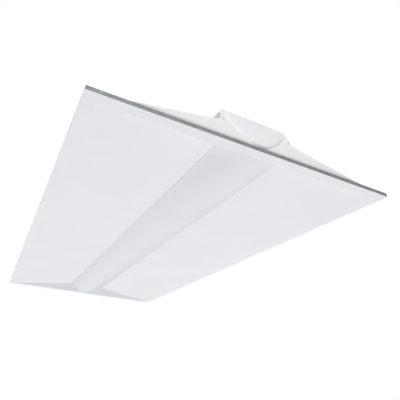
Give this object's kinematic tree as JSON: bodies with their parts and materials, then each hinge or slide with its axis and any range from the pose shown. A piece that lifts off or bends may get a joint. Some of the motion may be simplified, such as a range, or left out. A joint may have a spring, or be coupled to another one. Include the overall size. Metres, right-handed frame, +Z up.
{
  "type": "recessed troffer light",
  "caption": "Lay-in LED ceiling troffer with white sloping reflector panels, a curved centre diffuser, a low steel housing with a raised spine, and swing-out grid clips.",
  "frame": {"origin": "centre of the underside of the flange", "axes": "+Z up through the housing, Y along the length, X across the width; the room is below"},
  "size_m": [0.603, 1.213, 0.0851],
  "materials": {
    "board_laminate": "white solder mask",
    "circuit_laminate": "green solder mask",
    "clip_zinc": "zinc",
    "diffuser_acrylic": "frosted",
    "driver_steel": "satin",
    "edge_rail_steel": "dull grey zinc",
    "grommet_rubber": "matt",
    "housing_enamel": "satin white powder coat",
    "lead_black": "insulation",
    "lead_green": "insulation",
    "lead_red": "insulation",
    "led_phosphor": "gel",
    "reflector_enamel": "satin white powder coat",
    "rivet_steel": "plain",
    "screw_zinc": "bright zinc",
    "spring_steel": "bright",
    "terminal_nylon": "moulded",
    "tray_enamel": "satin white enamel",
    "white_nylon": "moulded"
  },
  "bodies": {
    "housing": {"back_pan": "housing_enamel", "board_clips": "white_nylon", "board_connectors": "white_nylon", "board_jumpers": "lead_red", "clip_brackets": "clip_zinc", "clip_rivets": "rivet_steel", "driver_base": "driver_steel", "driver_case": "driver_steel", "driver_circuit": "circuit_laminate", "driver_screws": "screw_zinc", "driver_terminals": "terminal_nylon", "end_cap_far": "housing_enamel", "end_cap_near": "housing_enamel", "end_cap_screws": "housing_enamel", "end_rail_far": "edge_rail_steel", "end_rail_near": "edge_rail_steel", "end_reflector_far": "reflector_enamel", "end_reflector_near": "reflector_enamel", "grommet": "grommet_rubber", "ground_lead": "lead_green", "ground_screw": "screw_zinc", "led_board_1": "board_laminate", "led_board_2": "board_laminate", "led_board_3": "board_laminate", "led_board_4": "board_laminate", "led_chips": "led_phosphor", "led_tray": "tray_enamel", "lens_springs": "spring_steel", "output_leads": "lead_red", "side_rail_left": "edge_rail_steel", "side_rail_right": "edge_rail_steel", "side_reflector_left": "reflector_enamel", "side_reflector_right": "reflector_enamel", "supply_leads": "lead_black", "supply_terminal": "terminal_nylon", "tray_screws": "screw_zinc"},
    "lens": {"lens": "diffuser_acrylic"},
    "access_cover": {"access_cover": "housing_enamel", "cover_screws": "screw_zinc"},
    "grid_clip_right_far": {"grid_clip_right_far": "clip_zinc"},
    "grid_clip_left_far": {"grid_clip_left_far": "clip_zinc"},
    "grid_clip_right_near": {"grid_clip_right_near": "clip_zinc"},
    "grid_clip_left_near": {"grid_clip_left_near": "clip_zinc"}
  },
  "joints": [
    {"name": "lens_release", "type": "slide", "parent": "housing", "child": "lens", "axis": [0, 0, -1], "range_m": [0, 0.045]},
    {"name": "cover_lift", "type": "slide", "parent": "housing", "child": "access_cover", "axis": [0, 0, 1], "range_m": [0, 0.03]},
    {"name": "clip_swing_right_far", "type": "hinge", "parent": "housing", "child": "grid_clip_right_far", "pos_m": [0.29, 0.45, 0.0386], "axis": [0, 0, 1], "range_deg": [0, 90]},
    {"name": "clip_swing_left_far", "type": "hinge", "parent": "housing", "child": "grid_clip_left_far", "pos_m": [-0.29, 0.45, 0.0386], "axis": [0, 0, -1], "range_deg": [0, 90]},
    {"name": "clip_swing_right_near", "type": "hinge", "parent": "housing", "child": "grid_clip_right_near", "pos_m": [0.29, -0.45, 0.0386], "axis": [0, 0, -1], "range_deg": [0, 90]},
    {"name": "clip_swing_left_near", "type": "hinge", "parent": "housing", "child": "grid_clip_left_near", "pos_m": [-0.29, -0.45, 0.0386], "axis": [0, 0, 1], "range_deg": [0, 90]}
  ]
}
